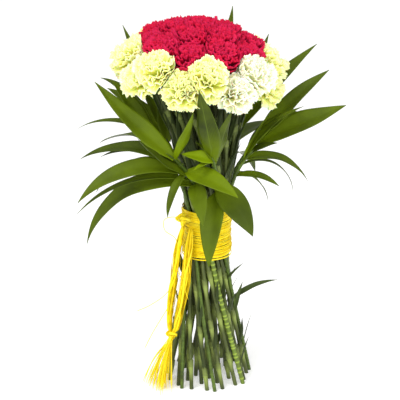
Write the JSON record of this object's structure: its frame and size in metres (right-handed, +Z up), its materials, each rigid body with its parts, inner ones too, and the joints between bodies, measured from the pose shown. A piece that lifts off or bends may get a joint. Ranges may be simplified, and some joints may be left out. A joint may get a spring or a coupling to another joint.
{
  "type": "bunch of carnations",
  "caption": "Hand-tied bunch of cut carnations, a red dome ringed with cream blooms and dark dracaena leaves, tied with raffia and standing on its spiralled stem ends.",
  "frame": {"origin": "the point on the floor under the middle of the bunch's box, between the cut stem ends", "axes": "+Z runs up the bunch from its cut stem ends to the top of the dome, -Y is the side that shows the lowest cream blooms with the raffia knot to its left, and +X is to the right seen from that side"},
  "size_m": [0.3858, 0.322, 0.5431],
  "materials": {
    "red_petal": "matte",
    "cream_petal": "matte",
    "green_stem": "satin",
    "dracaena_leaf": "satin",
    "raffia": "satin"
  },
  "bodies": {
    "root": {"cream_bloom_01": "cream_petal", "cream_bloom_02": "cream_petal", "cream_bloom_03": "cream_petal", "cream_bloom_04": "cream_petal", "cream_bloom_05": "cream_petal", "cream_bloom_06": "cream_petal", "cream_bloom_07": "cream_petal", "cream_bloom_08": "cream_petal", "cream_bloom_09": "cream_petal", "cream_bloom_10": "cream_petal", "cream_bloom_11": "cream_petal", "cream_bloom_12": "cream_petal", "cream_bloom_13": "cream_petal", "cream_bloom_14": "cream_petal", "cream_bloom_15": "cream_petal", "cream_bloom_16": "cream_petal", "cream_stem_pair_01": "green_stem", "cream_stem_pair_02": "green_stem", "cream_stem_pair_03": "green_stem", "cream_stem_pair_04": "green_stem", "cream_stem_pair_05": "green_stem", "cream_stem_pair_06": "green_stem", "cream_stem_pair_07": "green_stem", "cream_stem_pair_08": "green_stem", "dracaena_sprig_1": "dracaena_leaf", "dracaena_sprig_2": "dracaena_leaf", "dracaena_sprig_3": "dracaena_leaf", "dracaena_sprig_4": "dracaena_leaf", "dracaena_sprig_5": "dracaena_leaf", "dracaena_sprig_6": "dracaena_leaf", "dracaena_sprig_7": "dracaena_leaf", "dracaena_sprig_8": "dracaena_leaf", "raffia_band": "raffia", "raffia_fringe": "raffia", "raffia_knot": "raffia", "raffia_tail_1": "raffia", "raffia_tail_2": "raffia", "red_bloom_01": "red_petal", "red_bloom_02": "red_petal", "red_bloom_03": "red_petal", "red_bloom_04": "red_petal", "red_bloom_05": "red_petal", "red_bloom_06": "red_petal", "red_bloom_07": "red_petal", "red_bloom_08": "red_petal", "red_bloom_09": "red_petal", "red_bloom_10": "red_petal", "red_bloom_11": "red_petal", "red_bloom_12": "red_petal", "red_bloom_13": "red_petal", "red_bloom_14": "red_petal", "red_bloom_15": "red_petal", "red_bloom_16": "red_petal", "red_stem_pair_01": "green_stem", "red_stem_pair_02": "green_stem", "red_stem_pair_03": "green_stem", "red_stem_pair_04": "green_stem", "red_stem_pair_05": "green_stem", "red_stems_core": "green_stem"}
  },
  "joints": []
}
